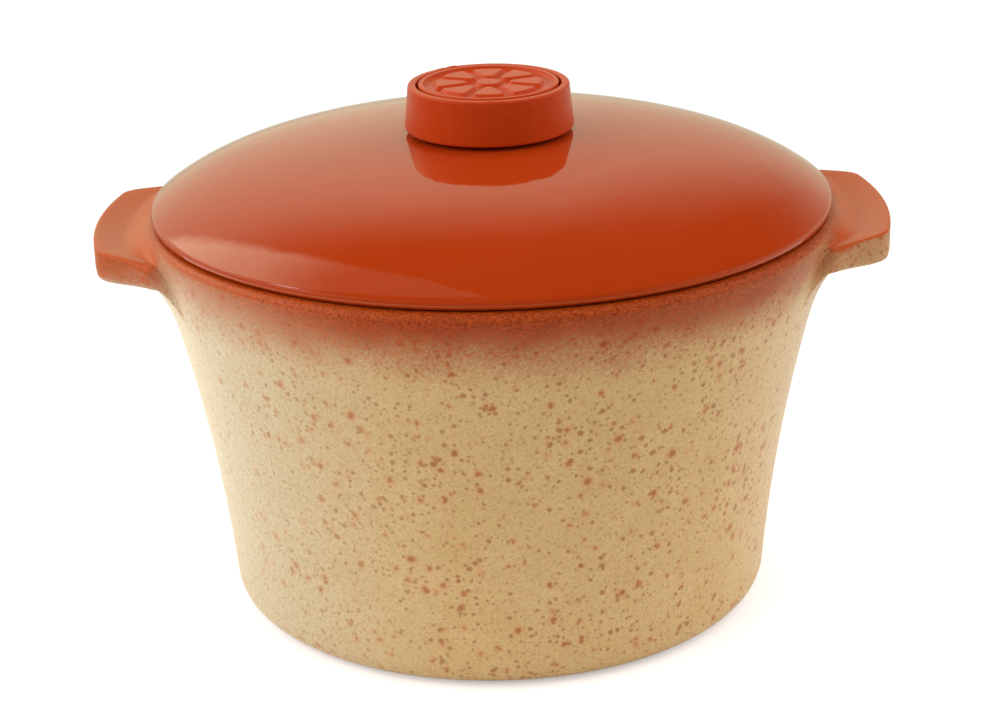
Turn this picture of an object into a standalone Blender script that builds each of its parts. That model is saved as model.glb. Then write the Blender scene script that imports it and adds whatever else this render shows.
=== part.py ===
"""Round ceramic saucepan with two lug handles, and a domed enamel lid with a knob that is screwed on.

The origin is on the table, under the middle of the pot. The lugs lie along X, and +Z is up.
Every lid piece is drawn from the plane of the pot's rim, and hangs on an empty on the axis along which it lifts.
"""

import math

import bmesh
import bpy
from mathutils import Matrix

MM = 0.001

# Gap left between pieces that touch on the real saucepan
SEAT_GAP = 0.3 * MM

# Pot
POT_HEIGHT = 143.5 * MM
WALL_FOOT_RADIUS = 97.2 * MM
WALL_RIM_RADIUS = 123.6 * MM
WALL_BOW = 4.3 * MM
WALL_THICKNESS = 7.5 * MM
FLOOR_THICKNESS = 7.5 * MM
FLOOR_CORNER = 12.0 * MM
FOOT_CORNER = 9.5 * MM
FOOT_RING_WIDTH = 8.0 * MM
FOOT_RING_HEIGHT = 1.6 * MM
RIM_OUTER_ROUND = 3.4 * MM
RIM_INNER_ROUND = 1.5 * MM

# Lug handles
LUG_REACH = 16.9 * MM
LUG_TIP_WIDTH = 80.0 * MM
LUG_FLARE = 6.0 * MM
LUG_CORNER = 8.0 * MM
LUG_TIP_THICKNESS = 11.2 * MM
LUG_TIP_DROP = 3.2 * MM
LUG_ROOT_DROP = 5.4 * MM
LUG_DISH = 1.4 * MM
LUG_TOP_ROUND = 1.2 * MM
LUG_BOTTOM_ROUND = 2.6 * MM
LUG_UNDER_DROP = 22.0 * MM
LUG_UNDER_SHARE = 0.6
LUG_BITE = 1.5 * MM

# Lid
SHEET = 1.2 * MM
BEAD_RADIUS = 2.0 * MM
DOME_RISE = 23.0 * MM
DOME_SHOULDER = 8.0 * MM
SHOULDER_POWER = 7
RING_DEPTH = 6.0 * MM
RING_CLEARANCE = 1.4 * MM
RING_SHEET = 1.2 * MM
RING_FLANGE = 7.0 * MM

# Knob
KNOB_BASE_RADIUS = 29.75 * MM
KNOB_TAPER = 1.35 * MM
KNOB_WALL = 2.85 * MM
KNOB_FLOOR = 4.0 * MM
KNOB_LIFT = 1.4 * MM
KNOB_SKIRT = 4.0 * MM
KNOB_BASE_ROUND = 1.0 * MM
KNOB_TOP_ROUND = 0.6 * MM
CAP_GAP = 0.95 * MM
CAP_THICKNESS = 3.0 * MM
CAP_WALL = 1.8 * MM
CAP_ROUND = 0.5 * MM
CAP_RIM = 1.7 * MM
CAP_SINK = 1.2 * MM
RELIEF_HEIGHT = 1.1 * MM
RELIEF_PADS = 8
RELIEF_BOSS_RADIUS = 4.6 * MM
RELIEF_GAP = 2.6 * MM
RELIEF_ROOT = 0.3 * MM

# Fixing of the knob: an M5 screw with its washers and nut
SCREW_RADIUS = 2.5 * MM
SCREW_HEAD_RADIUS = 4.75 * MM
SCREW_HEAD_HEIGHT = 3.0 * MM
SCREW_CROWN_HEIGHT = 1.0 * MM
SCREW_CROWN_WIDTH = 1.5 * MM
SCREW_SLOT_WIDTH = 1.2 * MM
SCREW_SLOT_DEPTH = 1.4 * MM
SCREW_PROUD = 1.8 * MM
SCREW_TIP_CHAMFER = 0.8 * MM
BORE_CLEARANCE = 0.3 * MM
WASHER_RADIUS = 5.5 * MM
WASHER_THICKNESS = 1.0 * MM
GASKET_RADIUS = 8.0 * MM
GASKET_THICKNESS = 1.0 * MM
NUT_ACROSS_FLATS = 8.0 * MM
NUT_HEIGHT = 4.0 * MM
HEAD_ROOM = 3.3 * MM

# Facets round a turn
POT_FACETS = 64
KNOB_FACETS = 48
SMALL_FACETS = 24
SHARP_ANGLE = math.radians(35)


def arc(centre, radius, start, end, steps):
    """Points along an arc, as (radius, height) pairs, with the angles in degrees."""
    points = []
    for step in range(steps + 1):
        angle = math.radians(start + (end - start) * step / steps)
        points.append((centre[0] + radius * math.cos(angle), centre[1] + radius * math.sin(angle)))
    return points


def spread(start, end, steps):
    """Evenly spaced values from start to end, both included."""
    return [start + (end - start) * step / steps for step in range(steps + 1)]


def blend(start, corner, end, steps):
    """Soft curve from start to end that runs off along the lines from each of them to the corner."""
    points = []
    for part in spread(0, 1, steps):
        shares = ((1 - part) ** 2, 2 * part * (1 - part), part**2)
        points.append(tuple(sum(s * p[i] for s, p in zip(shares, (start, corner, end))) for i in (0, 1)))
    return points


def wall_radius(height):
    """Outside of the pot's wall: a straight flare from foot to rim, drawn in by a shallow parabola."""
    share = height / POT_HEIGHT
    straight = WALL_FOOT_RADIUS + (WALL_RIM_RADIUS - WALL_FOOT_RADIUS) * share
    return straight - 4 * WALL_BOW * share * (1 - share)


def wall_slope(height):
    """How fast the wall widens with height."""
    share = height / POT_HEIGHT
    flare = WALL_RIM_RADIUS - WALL_FOOT_RADIUS
    return (flare - 4 * WALL_BOW * (1 - 2 * share)) / POT_HEIGHT


def inner_radius(height):
    return wall_radius(height) - WALL_THICKNESS


# Rim: two rounds with a flat land between them, where the lid's bead rests
rim_outer_round = min(RIM_OUTER_ROUND, WALL_THICKNESS / 2)
rim_inner_round = min(RIM_INNER_ROUND, WALL_THICKNESS / 4)
land_outer_radius = wall_radius(POT_HEIGHT - rim_outer_round) - rim_outer_round
land_inner_radius = inner_radius(POT_HEIGHT - rim_inner_round) + rim_inner_round

# Lid, with heights from the rim's plane
bead_centre = ((land_inner_radius + land_outer_radius) / 2, SEAT_GAP + BEAD_RADIUS)
edge_tilt = math.atan((2 * (DOME_RISE - DOME_SHOULDER) + SHOULDER_POWER * DOME_SHOULDER) / bead_centre[0])
dome_edge_radius = bead_centre[0] + BEAD_RADIUS * math.sin(edge_tilt)
dome_edge_height = bead_centre[1] + BEAD_RADIUS * math.cos(edge_tilt)


def dome_height(radius):
    """Top of the lid: a shallow crown, and a shoulder that turns down near the edge."""
    share = radius / dome_edge_radius
    crown = (DOME_RISE - DOME_SHOULDER) * (1 - share**2)
    shoulder = DOME_SHOULDER * (1 - share**SHOULDER_POWER)
    return dome_edge_height + crown + shoulder


def dome_stretch(radius):
    """Length along the dome for each unit of radius, which is also height for each unit of thickness."""
    share = radius / dome_edge_radius
    fall = 2 * (DOME_RISE - DOME_SHOULDER) * share + SHOULDER_POWER * DOME_SHOULDER * share ** (SHOULDER_POWER - 1)
    return math.hypot(1, fall / dome_edge_radius)


def height_under_dome(radius, depth):
    """Height of a surface that lies below the top of the lid by a thickness, measured square to the dome."""
    return dome_height(radius) - depth * dome_stretch(radius)


# Stack on the screw, from the dome's middle upwards
bore_radius = SCREW_RADIUS + BORE_CLEARANCE
knob_gasket_bottom = dome_height(0) + SEAT_GAP
knob_seat = knob_gasket_bottom + GASKET_THICKNESS + SEAT_GAP
knob_floor_top = knob_seat + KNOB_FLOOR
screw_washer_bottom = knob_floor_top + SEAT_GAP
head_bottom = screw_washer_bottom + WASHER_THICKNESS + SEAT_GAP
head_top = head_bottom + SCREW_HEAD_HEIGHT
knob_top = head_top + HEAD_ROOM + CAP_THICKNESS
knob_base = dome_height(KNOB_BASE_RADIUS) + KNOB_LIFT

# Stack below the dome, downwards
lid_gasket_top = height_under_dome(GASKET_RADIUS, SHEET) - SEAT_GAP
nut_washer_top = lid_gasket_top - GASKET_THICKNESS - SEAT_GAP
nut_top = nut_washer_top - WASHER_THICKNESS - SEAT_GAP
screw_tip = nut_top - NUT_HEIGHT - SCREW_PROUD

# Cup of the knob and the cap in it
knob_top_radius = KNOB_BASE_RADIUS - KNOB_TAPER
pocket_radius = knob_top_radius - KNOB_WALL
cap_radius = pocket_radius - CAP_GAP
field_radius = cap_radius - CAP_RIM - CAP_SINK
field_height = knob_top - CAP_SINK


def clear_scene():
    for old in list(bpy.data.objects):
        bpy.data.objects.remove(old, do_unlink=True)


def colour(hexadecimal):
    """sRGB hexadecimal to the linear values that a shader takes."""
    channels = [int(hexadecimal[place : place + 2], 16) / 255 for place in (1, 3, 5)]
    linear = [c / 12.92 if c <= 0.04045 else ((c + 0.055) / 1.055) ** 2.4 for c in channels]
    return (*linear, 1.0)


def material(name, hexadecimal, roughness, metallic=0.0):
    made = bpy.data.materials.new(name)
    made.use_nodes = True
    shader = made.node_tree.nodes["Principled BSDF"]
    shader.inputs["Base Color"].default_value = colour(hexadecimal)
    shader.inputs["Roughness"].default_value = roughness
    shader.inputs["Metallic"].default_value = metallic
    made.diffuse_color = colour(hexadecimal)
    return made


def add_object(name, mesh_builder, finish, parent=None):
    """Turns a bmesh into a named object, with its faces out and its edges smooth or sharp by angle."""
    bmesh.ops.recalc_face_normals(mesh_builder, faces=mesh_builder.faces[:])
    mesh = bpy.data.meshes.new(name)
    mesh_builder.to_mesh(mesh)
    mesh_builder.free()
    mesh.materials.append(finish)
    mesh.shade_smooth()
    mesh.set_sharp_from_angle(angle=SHARP_ANGLE)
    made = bpy.data.objects.new(name, mesh)
    bpy.context.scene.collection.objects.link(made)
    made.parent = parent
    return made


def turned(outline, facets, is_ring):
    """Turns an outline of (radius, height) points about Z. A ring's outline closes on itself."""
    shape = bmesh.new()
    corners = [shape.verts.new((radius, 0, height)) for radius, height in outline]
    pairs = list(zip(corners, corners[1:]))
    if is_ring:
        pairs.append((corners[-1], corners[0]))
    edges = [shape.edges.new(pair) for pair in pairs]
    bmesh.ops.spin(
        shape,
        geom=corners + edges,
        cent=(0, 0, 0),
        axis=(0, 0, 1),
        angle=2 * math.pi,
        steps=facets,
        use_merge=True,
    )
    bmesh.ops.remove_doubles(shape, verts=shape.verts[:], dist=MM / 1000)
    return shape


def combined(body, tools, operation):
    """Joins the tools to the body, or cuts them from it, and removes them."""
    for tool in tools:
        tool.hide_render = True
        tool.display_type = "WIRE"
        step = body.modifiers.new(tool.name, "BOOLEAN")
        step.operation = operation
        step.solver = "EXACT"
        step.object = tool
    view = bpy.context.evaluated_depsgraph_get()
    mesh = bpy.data.meshes.new_from_object(body.evaluated_get(view))
    body.modifiers.clear()
    body.data = mesh
    mesh.shade_smooth()
    mesh.set_sharp_from_angle(angle=SHARP_ANGLE)
    for tool in tools:
        bpy.data.objects.remove(tool, do_unlink=True)


def pot_outline():
    """From the middle of the underside, out over the foot ring, up the wall, over the rim and down inside."""
    foot_outer_radius = wall_radius(FOOT_CORNER) - FOOT_CORNER
    foot_inner_radius = foot_outer_radius - FOOT_RING_WIDTH
    floor_top = FOOT_RING_HEIGHT + FLOOR_THICKNESS
    corner_height = floor_top + FLOOR_CORNER
    corner_centre = (inner_radius(corner_height) - FLOOR_CORNER, corner_height)
    outer_centre = (land_outer_radius, POT_HEIGHT - rim_outer_round)
    inner_centre = (land_inner_radius, POT_HEIGHT - rim_inner_round)
    points = [(0, FOOT_RING_HEIGHT)]
    points.append((foot_inner_radius - FOOT_RING_HEIGHT, FOOT_RING_HEIGHT))
    points.append((foot_inner_radius, 0))
    points += arc((foot_outer_radius, FOOT_CORNER), FOOT_CORNER, -90, 0, 5)
    points += [(wall_radius(height), height) for height in spread(FOOT_CORNER, outer_centre[1], 8)[1:-1]]
    points += arc(outer_centre, rim_outer_round, 0, 90, 4)
    points += arc(inner_centre, rim_inner_round, 90, 180, 3)
    points += [(inner_radius(height), height) for height in spread(inner_centre[1], corner_height, 7)[1:-1]]
    points += arc(corner_centre, FLOOR_CORNER, 0, -90, 4)
    points.append((0, floor_top))
    return points


def lug_half_width(radius):
    """Half the width of a lug at a distance from the pot's axis: it widens evenly towards the wall."""
    return LUG_TIP_WIDTH / 2 + LUG_FLARE * (WALL_RIM_RADIUS + LUG_REACH - radius) / LUG_REACH


def lug_stations():
    """Places across a lug, as its share of the half width and how far the tip draws back at the round corners."""
    half = LUG_TIP_WIDTH / 2
    straight = half - LUG_CORNER
    stations = [(across / half, 0) for across in spread(-straight, straight, 8)[1:-1]]
    for step in range(5):
        angle = math.radians(90 * step / 4)
        share = (straight + LUG_CORNER * math.sin(angle)) / half
        back = LUG_CORNER * (1 - math.cos(angle))
        stations.append((share, back))
        stations.append((-share, back))
    return sorted(stations)


def lug_section(share, back):
    """One slice of a lug, from inside the wall along its top to the tip and back along its underside."""
    tip = WALL_RIM_RADIUS + LUG_REACH - back
    tip_top = POT_HEIGHT - LUG_TIP_DROP
    root_top = POT_HEIGHT - LUG_ROOT_DROP
    under = tip_top - LUG_TIP_THICKNESS
    embed = WALL_THICKNESS / 2
    root = wall_radius(root_top) - LUG_BITE
    points = [(wall_radius(root_top) - embed, root_top)]
    for part in spread(0, 1, 5)[:-1]:
        radius = root + (tip - LUG_TOP_ROUND - root) * part
        dip = LUG_DISH * math.sin(math.pi * part) * (1 - share**2)
        points.append((radius, root_top + (tip_top - root_top) * part - dip))
    points += arc((tip - LUG_TOP_ROUND, tip_top - LUG_TOP_ROUND), LUG_TOP_ROUND, 90, 0, 2)
    points += arc((tip - LUG_BOTTOM_ROUND, under + LUG_BOTTOM_ROUND), LUG_BOTTOM_ROUND, 0, -90, 2)

    drop = min(LUG_UNDER_DROP, under / 2)
    foot = (wall_radius(under - drop) - LUG_BITE, under - drop)
    corner = (foot[0] + wall_slope(foot[1]) * drop, under)
    start = (corner[0] + LUG_UNDER_SHARE * (tip - LUG_BOTTOM_ROUND - corner[0]), under)
    points += blend(start, corner, foot, 4)
    points.append((wall_radius(foot[1]) - embed, foot[1]))
    return points


def lug_mesh(side):
    """A lug on the +X side, or on the -X side: slices joined across its width and closed at both ends."""
    shape = bmesh.new()
    slices = []
    for share, back in lug_stations():
        loop = []
        for radius, height in lug_section(share, back):
            across = share * lug_half_width(radius)
            out = math.sqrt(radius**2 - across**2)
            loop.append(shape.verts.new((side * out, side * across, height)))
        slices.append(loop)
    for loop, next_loop in zip(slices, slices[1:]):
        for place in range(len(loop)):
            after = (place + 1) % len(loop)
            shape.faces.new((loop[place], loop[after], next_loop[after], next_loop[place]))
    ends = [shape.faces.new(loop) for loop in (slices[0], slices[-1])]
    shape.normal_update()
    bmesh.ops.triangulate(shape, faces=ends)
    return shape


def make_pot(finish):
    pot = add_object("pot", turned(pot_outline(), POT_FACETS, is_ring=False), finish)
    lugs = [add_object(f"lug_{side:+d}", lug_mesh(side), finish) for side in (1, -1)]
    combined(pot, lugs, "UNION")


def make_lid_shell(finish, lift_axis):
    """Pressed dome with a hole for the screw, and a bead rolled at its edge."""
    hole = bore_radius
    top = [(radius, dome_height(radius)) for radius in spread(hole, dome_edge_radius, 13)]
    first = 90 - math.degrees(edge_tilt)
    close = math.degrees(math.acos((BEAD_RADIUS - SHEET) / BEAD_RADIUS))
    bead = arc(bead_centre, BEAD_RADIUS, first, first + close - 360, 9)[1:]
    under_edge = bead_centre[0] - 2 * BEAD_RADIUS
    under = [(radius, height_under_dome(radius, SHEET)) for radius in spread(under_edge, hole, 10)]
    add_object("lid_shell", turned(top + bead + under, POT_FACETS, is_ring=True), finish, lift_axis)


def make_locating_ring(finish, lift_axis):
    """Collar that drops into the pot's mouth, with a flange that is welded to the underside of the dome."""
    lower = -RING_DEPTH
    outer = inner_radius(POT_HEIGHT - RING_DEPTH) - RING_CLEARANCE
    inner = outer - RING_SHEET
    flange_radii = spread(outer, outer - RING_FLANGE, 2)
    above = [(radius, height_under_dome(radius, SHEET + SEAT_GAP)) for radius in flange_radii]
    below_radii = spread(outer - RING_FLANGE, inner, 2)
    below = [(radius, height_under_dome(radius, SHEET + SEAT_GAP + RING_SHEET)) for radius in below_radii]
    outline = [(outer, lower)] + above + below + [(inner, lower)]
    add_object("lid_locating_ring", turned(outline, POT_FACETS, is_ring=True), finish, lift_axis)


def make_knob_body(finish, lift_axis):
    """Tapered cup: its floor sits on the gasket, and its skirt stops just above the dome."""
    skirt_inner = KNOB_BASE_RADIUS - KNOB_SKIRT
    base_round_centre = (KNOB_BASE_RADIUS - KNOB_BASE_ROUND, knob_base + KNOB_BASE_ROUND)
    top_round_centre = (knob_top_radius - KNOB_TOP_ROUND, knob_top - KNOB_TOP_ROUND)
    outline = [(bore_radius, knob_seat), (skirt_inner, knob_seat), (skirt_inner, knob_base)]
    outline += arc(base_round_centre, KNOB_BASE_ROUND, -90, 0, 3)
    outline += arc(top_round_centre, KNOB_TOP_ROUND, 0, 90, 2)
    outline += [(pocket_radius, knob_top), (pocket_radius, knob_floor_top), (bore_radius, knob_floor_top)]
    add_object("knob_body", turned(outline, KNOB_FACETS, is_ring=True), finish, lift_axis)


def relief_pad(inner, outer, middle, width, steps):
    """A block of the relief, as a piece of a ring: inner and outer radius, and angles in degrees."""
    shape = bmesh.new()
    low = field_height - RELIEF_ROOT
    high = field_height + RELIEF_HEIGHT
    rows = []
    for height in (low, high):
        edge = arc((0, 0), inner, middle - width / 2, middle + width / 2, steps)
        edge += arc((0, 0), outer, middle + width / 2, middle - width / 2, steps)
        rows.append([shape.verts.new((x, y, height)) for x, y in edge])
    shape.faces.new(rows[0])
    shape.faces.new(rows[1])
    for place in range(len(rows[0])):
        after = (place + 1) % len(rows[0])
        shape.faces.new((rows[0][place], rows[0][after], rows[1][after], rows[1][place]))
    return shape


def relief_boss():
    """The round block in the middle of the relief."""
    shape = bmesh.new()
    depth = RELIEF_HEIGHT + RELIEF_ROOT
    middle = field_height - RELIEF_ROOT + depth / 2
    bmesh.ops.create_cone(
        shape,
        cap_ends=True,
        segments=SMALL_FACETS,
        radius1=RELIEF_BOSS_RADIUS,
        radius2=RELIEF_BOSS_RADIUS,
        depth=depth,
        matrix=Matrix.Translation((0, 0, middle)),
    )
    return shape


def make_knob_cap(finish, lift_axis):
    """Disc with a raised rim and a plain relief of blocks in a ring, on a skirt that stands in the cup."""
    cap_bottom = knob_floor_top + SEAT_GAP
    cap_under = knob_top - CAP_THICKNESS
    outline = [(0, field_height), (field_radius, field_height), (cap_radius - CAP_RIM, knob_top)]
    outline += arc((cap_radius - CAP_ROUND, knob_top - CAP_ROUND), CAP_ROUND, 90, 0, 2)
    outline += [(cap_radius, cap_bottom), (cap_radius - CAP_WALL, cap_bottom)]
    outline += [(cap_radius - CAP_WALL, cap_under), (0, cap_under)]
    cap = add_object("knob_cap", turned(outline, KNOB_FACETS, is_ring=False), finish, lift_axis)
    inner = RELIEF_BOSS_RADIUS + RELIEF_GAP
    outer = field_radius - RELIEF_GAP
    pitch = 360 / RELIEF_PADS
    width = pitch - math.degrees(RELIEF_GAP / ((inner + outer) / 2))
    blocks = [add_object("relief_boss", relief_boss(), finish, lift_axis)]
    for count in range(RELIEF_PADS):
        pad = relief_pad(inner, outer, count * pitch, width, 3)
        blocks.append(add_object(f"relief_pad_{count}", pad, finish, lift_axis))
    combined(cap, blocks, "UNION")


def make_screw(finish, lift_axis):
    """Pan-head screw with a slot, through knob, gaskets and lid."""
    outline = [(0, head_top), (SCREW_HEAD_RADIUS - SCREW_CROWN_WIDTH, head_top)]
    outline += [(SCREW_HEAD_RADIUS, head_top - SCREW_CROWN_HEIGHT), (SCREW_HEAD_RADIUS, head_bottom)]
    outline += [(SCREW_RADIUS, head_bottom), (SCREW_RADIUS, screw_tip + SCREW_TIP_CHAMFER)]
    outline += [(SCREW_RADIUS - SCREW_TIP_CHAMFER, screw_tip), (0, screw_tip)]
    screw = add_object("knob_screw", turned(outline, SMALL_FACETS, is_ring=False), finish, lift_axis)
    slot_shape = bmesh.new()
    size = (3 * SCREW_HEAD_RADIUS, SCREW_SLOT_WIDTH, 2 * SCREW_SLOT_DEPTH)
    place = Matrix.Translation((0, 0, head_top)) @ Matrix.Diagonal((*size, 1))
    bmesh.ops.create_cube(slot_shape, size=1, matrix=place)
    slot = add_object("screw_slot", slot_shape, finish, lift_axis)
    combined(screw, [slot], "DIFFERENCE")


def make_flat_ring(name, outer, bottom, thickness, finish, lift_axis):
    """A washer or gasket on the screw."""
    top = bottom + thickness
    outline = [(bore_radius, bottom), (outer, bottom), (outer, top), (bore_radius, top)]
    add_object(name, turned(outline, SMALL_FACETS, is_ring=True), finish, lift_axis)


def make_nut(finish, lift_axis):
    """Hexagon nut with a round bore."""
    corner_radius = NUT_ACROSS_FLATS / 2 / math.cos(math.pi / 6)
    shape = bmesh.new()
    middle = Matrix.Translation((0, 0, nut_top - NUT_HEIGHT / 2))
    bmesh.ops.create_cone(
        shape,
        cap_ends=True,
        segments=6,
        radius1=corner_radius,
        radius2=corner_radius,
        depth=NUT_HEIGHT,
        matrix=middle,
    )
    nut = add_object("knob_nut", shape, finish, lift_axis)
    bore_shape = bmesh.new()
    bmesh.ops.create_cone(
        bore_shape,
        cap_ends=True,
        segments=SMALL_FACETS,
        radius1=bore_radius,
        radius2=bore_radius,
        depth=2 * NUT_HEIGHT,
        matrix=middle,
    )
    bore = add_object("nut_bore", bore_shape, finish, lift_axis)
    combined(nut, [bore], "DIFFERENCE")


def make_lift_axis():
    """Empty on the pot's axis, at the rim: the lid's pieces hang on it, and it lifts straight up."""
    axis = bpy.data.objects.new("lid_lift_axis", None)
    axis.location = (0, 0, POT_HEIGHT)
    bpy.context.scene.collection.objects.link(axis)
    return axis


def main():
    clear_scene()
    glaze = material("speckled_glaze", "#CFAF82", 0.35)
    enamel = material("terracotta_enamel", "#AE370D", 0.12)
    bakelite = material("terracotta_bakelite", "#B04A20", 0.45)
    steel = material("zinc_plated_steel", "#B9BCBE", 0.3, metallic=1.0)
    fibre = material("vulcanised_fibre", "#4A2A1C", 0.7)
    lift_axis = make_lift_axis()
    bpy.context.view_layer.update()

    make_pot(glaze)
    make_lid_shell(enamel, lift_axis)
    make_locating_ring(enamel, lift_axis)
    make_knob_body(bakelite, lift_axis)
    make_knob_cap(bakelite, lift_axis)
    make_screw(steel, lift_axis)
    make_flat_ring("screw_washer", WASHER_RADIUS, screw_washer_bottom, WASHER_THICKNESS, steel, lift_axis)
    make_flat_ring("knob_gasket", GASKET_RADIUS, knob_gasket_bottom, GASKET_THICKNESS, fibre, lift_axis)
    gasket_bottom = lid_gasket_top - GASKET_THICKNESS
    make_flat_ring("lid_gasket", GASKET_RADIUS, gasket_bottom, GASKET_THICKNESS, fibre, lift_axis)
    washer_bottom = nut_washer_top - WASHER_THICKNESS
    make_flat_ring("nut_washer", WASHER_RADIUS, washer_bottom, WASHER_THICKNESS, steel, lift_axis)
    make_nut(steel, lift_axis)


main()
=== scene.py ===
# %% [markdown]
# # A lidded ceramic saucepan
#
# A speckled stoneware pot with two lugs, a glossy enamelled lid and a moulded knob. The CAD model gives every place
# and every main size. This file dresses it: finer surfaces where the light gives facets away, and a material for
# each real finish. The frame comes first, because all that follows is measured from it.

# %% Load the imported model
import math

import bmesh
import bpy
from mathutils import Matrix, Vector


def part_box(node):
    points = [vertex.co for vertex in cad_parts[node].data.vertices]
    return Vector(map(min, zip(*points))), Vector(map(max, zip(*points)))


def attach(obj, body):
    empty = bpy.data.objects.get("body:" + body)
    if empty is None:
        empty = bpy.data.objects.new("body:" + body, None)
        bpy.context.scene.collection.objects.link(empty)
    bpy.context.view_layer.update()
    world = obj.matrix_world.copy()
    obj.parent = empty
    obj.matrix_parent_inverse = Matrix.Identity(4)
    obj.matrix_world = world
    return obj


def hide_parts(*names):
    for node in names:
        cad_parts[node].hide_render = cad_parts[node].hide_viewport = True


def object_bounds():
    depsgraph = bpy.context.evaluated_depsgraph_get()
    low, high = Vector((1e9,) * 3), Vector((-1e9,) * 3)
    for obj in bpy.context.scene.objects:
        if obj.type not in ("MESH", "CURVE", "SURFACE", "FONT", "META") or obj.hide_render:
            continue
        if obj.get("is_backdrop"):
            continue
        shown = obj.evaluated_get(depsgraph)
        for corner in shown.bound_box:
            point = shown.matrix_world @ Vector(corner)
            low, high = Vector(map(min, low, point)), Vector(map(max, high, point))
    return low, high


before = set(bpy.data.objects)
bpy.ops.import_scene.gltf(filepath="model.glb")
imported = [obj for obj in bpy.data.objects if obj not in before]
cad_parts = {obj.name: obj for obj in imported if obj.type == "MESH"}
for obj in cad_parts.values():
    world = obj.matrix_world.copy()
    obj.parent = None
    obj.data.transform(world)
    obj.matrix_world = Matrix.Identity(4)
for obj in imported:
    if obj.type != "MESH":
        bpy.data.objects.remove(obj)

cad_box = [list(corner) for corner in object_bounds()]

# %% [markdown]
# ## Units and boxes
#
# Blender counts in metres, and a potter thinks in millimetres. Every size below is in millimetres, and is turned
# into metres only when a vertex is made. The lowest and highest corner of a CAD node are the driving sizes: the
# pot's height, the reach of its lugs, the edge of the lid and the faces of the knob are read from them.

# %% Millimetres, and the boxes of the CAD nodes
MM = 0.001


def box_in_mm(node):
    low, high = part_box(node)
    return Vector(low) / MM, Vector(high) / MM


pot_high = box_in_mm("pot")[1]
lid_high = box_in_mm("lid_shell")[1]
knob_low, knob_high = box_in_mm("knob_body")
cap_low, cap_high = box_in_mm("knob_cap")
print("pot height", round(pot_high.z, 1), "lug tip", round(pot_high.x, 1), "lid radius", round(lid_high.x, 1))

# %% [markdown]
# ## Tools for round shapes
#
# A pot, a lid and a knob are all turned or jiggered shapes: one outline that goes round an axis. A modifier could
# spin the outline, but a lug, a relief or a ragged moulding edge breaks the symmetry. So each piece is a stack of
# rings of points, computed one by one, and one function joins the rings into a closed skin.

# %% Small curves that the outlines are made from


def spread(start, end, steps):
    """Evenly spaced values from start to end, both included."""
    return [start + (end - start) * step / steps for step in range(steps + 1)]


def arc(centre, radius, start, end, steps):
    """Points along an arc, as (radius, height) pairs, with the angles in degrees."""
    points = []
    for angle in spread(math.radians(start), math.radians(end), steps):
        points.append((centre[0] + radius * math.cos(angle), centre[1] + radius * math.sin(angle)))
    return points


def blend(start, corner, end, steps):
    """Soft curve that leaves start towards the corner, and reaches end from the corner."""
    points = []
    for part in spread(0, 1, steps):
        shares = ((1 - part) ** 2, 2 * part * (1 - part), part**2)
        points.append(tuple(sum(s * p[i] for s, p in zip(shares, (start, corner, end))) for i in (0, 1)))
    return points


def ease(low, high, value):
    """Rises smoothly from 0 at low to 1 at high."""
    share = min(max((value - low) / (high - low), 0), 1)
    return share * share * (3 - 2 * share)


def soft_min(first, second, width):
    """The lower of two values, with the corner where they cross rounded over a width."""
    overlap = max(width - abs(first - second), 0) / width
    return min(first, second) - overlap * overlap * width / 4


def soft_max(first, second, width):
    """The higher of two values, with the same rounding."""
    return -soft_min(-first, -second, width)


# %% Join rings of points into one closed piece
SHARP_ANGLE = math.radians(40)


def skin(name, rings, closed, body, *nodes):
    """Makes a piece from rings of points in millimetres. A ring of one point is a pole on the axis."""
    shape = bmesh.new()
    rows = [[shape.verts.new(Vector(point) * MM) for point in ring] for ring in rings]
    pairs = list(zip(rows, rows[1:]))
    if closed:
        pairs.append((rows[-1], rows[0]))
    for low, high in pairs:
        count = max(len(low), len(high))
        for place in range(count):
            after = (place + 1) % count
            if len(low) == 1:
                shape.faces.new((low[0], high[after], high[place]))
            elif len(high) == 1:
                shape.faces.new((low[place], low[after], high[0]))
            else:
                shape.faces.new((low[place], low[after], high[after], high[place]))
    bmesh.ops.recalc_face_normals(shape, faces=shape.faces[:])
    mesh = bpy.data.meshes.new(name)
    shape.to_mesh(mesh)
    shape.free()
    mesh.shade_smooth()
    mesh.set_sharp_from_angle(angle=SHARP_ANGLE)
    piece = bpy.data.objects.new(name, mesh)
    bpy.context.scene.collection.objects.link(piece)
    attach(piece, body)
    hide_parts(*nodes)
    print(name, len(mesh.polygons), "faces")
    return piece


def turned_rings(outline, facets, shift=None):
    """Carries an outline of (radius, height) round the axis. A shift may move each point by its angle."""
    rings = []
    for radius, height in outline:
        if radius == 0:
            rings.append([(0, 0, height)])
            continue
        ring = []
        for step in range(facets):
            angle = 2 * math.pi * step / facets
            out, up = shift(radius, height, angle) if shift else (radius, height)
            ring.append((out * math.cos(angle), out * math.sin(angle), up))
        rings.append(ring)
    return rings


# %% [markdown]
# ## Camera
#
# The view is that of a small product photograph: a long lens from about 0.9 m, held a little above the rim. Its
# place, its three angles and its focal length come from fitting the outline of the pot to the picture.

# %% The camera of the photograph
CAMERA_PLACE = (0.0, -0.8148, 0.3894)
CAMERA_PITCH = math.radians(20.564)
CAMERA_YAW = math.radians(0.118)
CAMERA_ROLL = math.radians(-1.409)
CAMERA_LENS = 85.92

ahead = Vector((
    math.sin(CAMERA_YAW) * math.cos(CAMERA_PITCH),
    math.cos(CAMERA_YAW) * math.cos(CAMERA_PITCH),
    -math.sin(CAMERA_PITCH),
))
level_right = ahead.cross(Vector((0, 0, 1))).normalized()
level_up = level_right.cross(ahead)
camera_right = math.cos(CAMERA_ROLL) * level_right + math.sin(CAMERA_ROLL) * level_up
camera_up = -math.sin(CAMERA_ROLL) * level_right + math.cos(CAMERA_ROLL) * level_up

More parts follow.
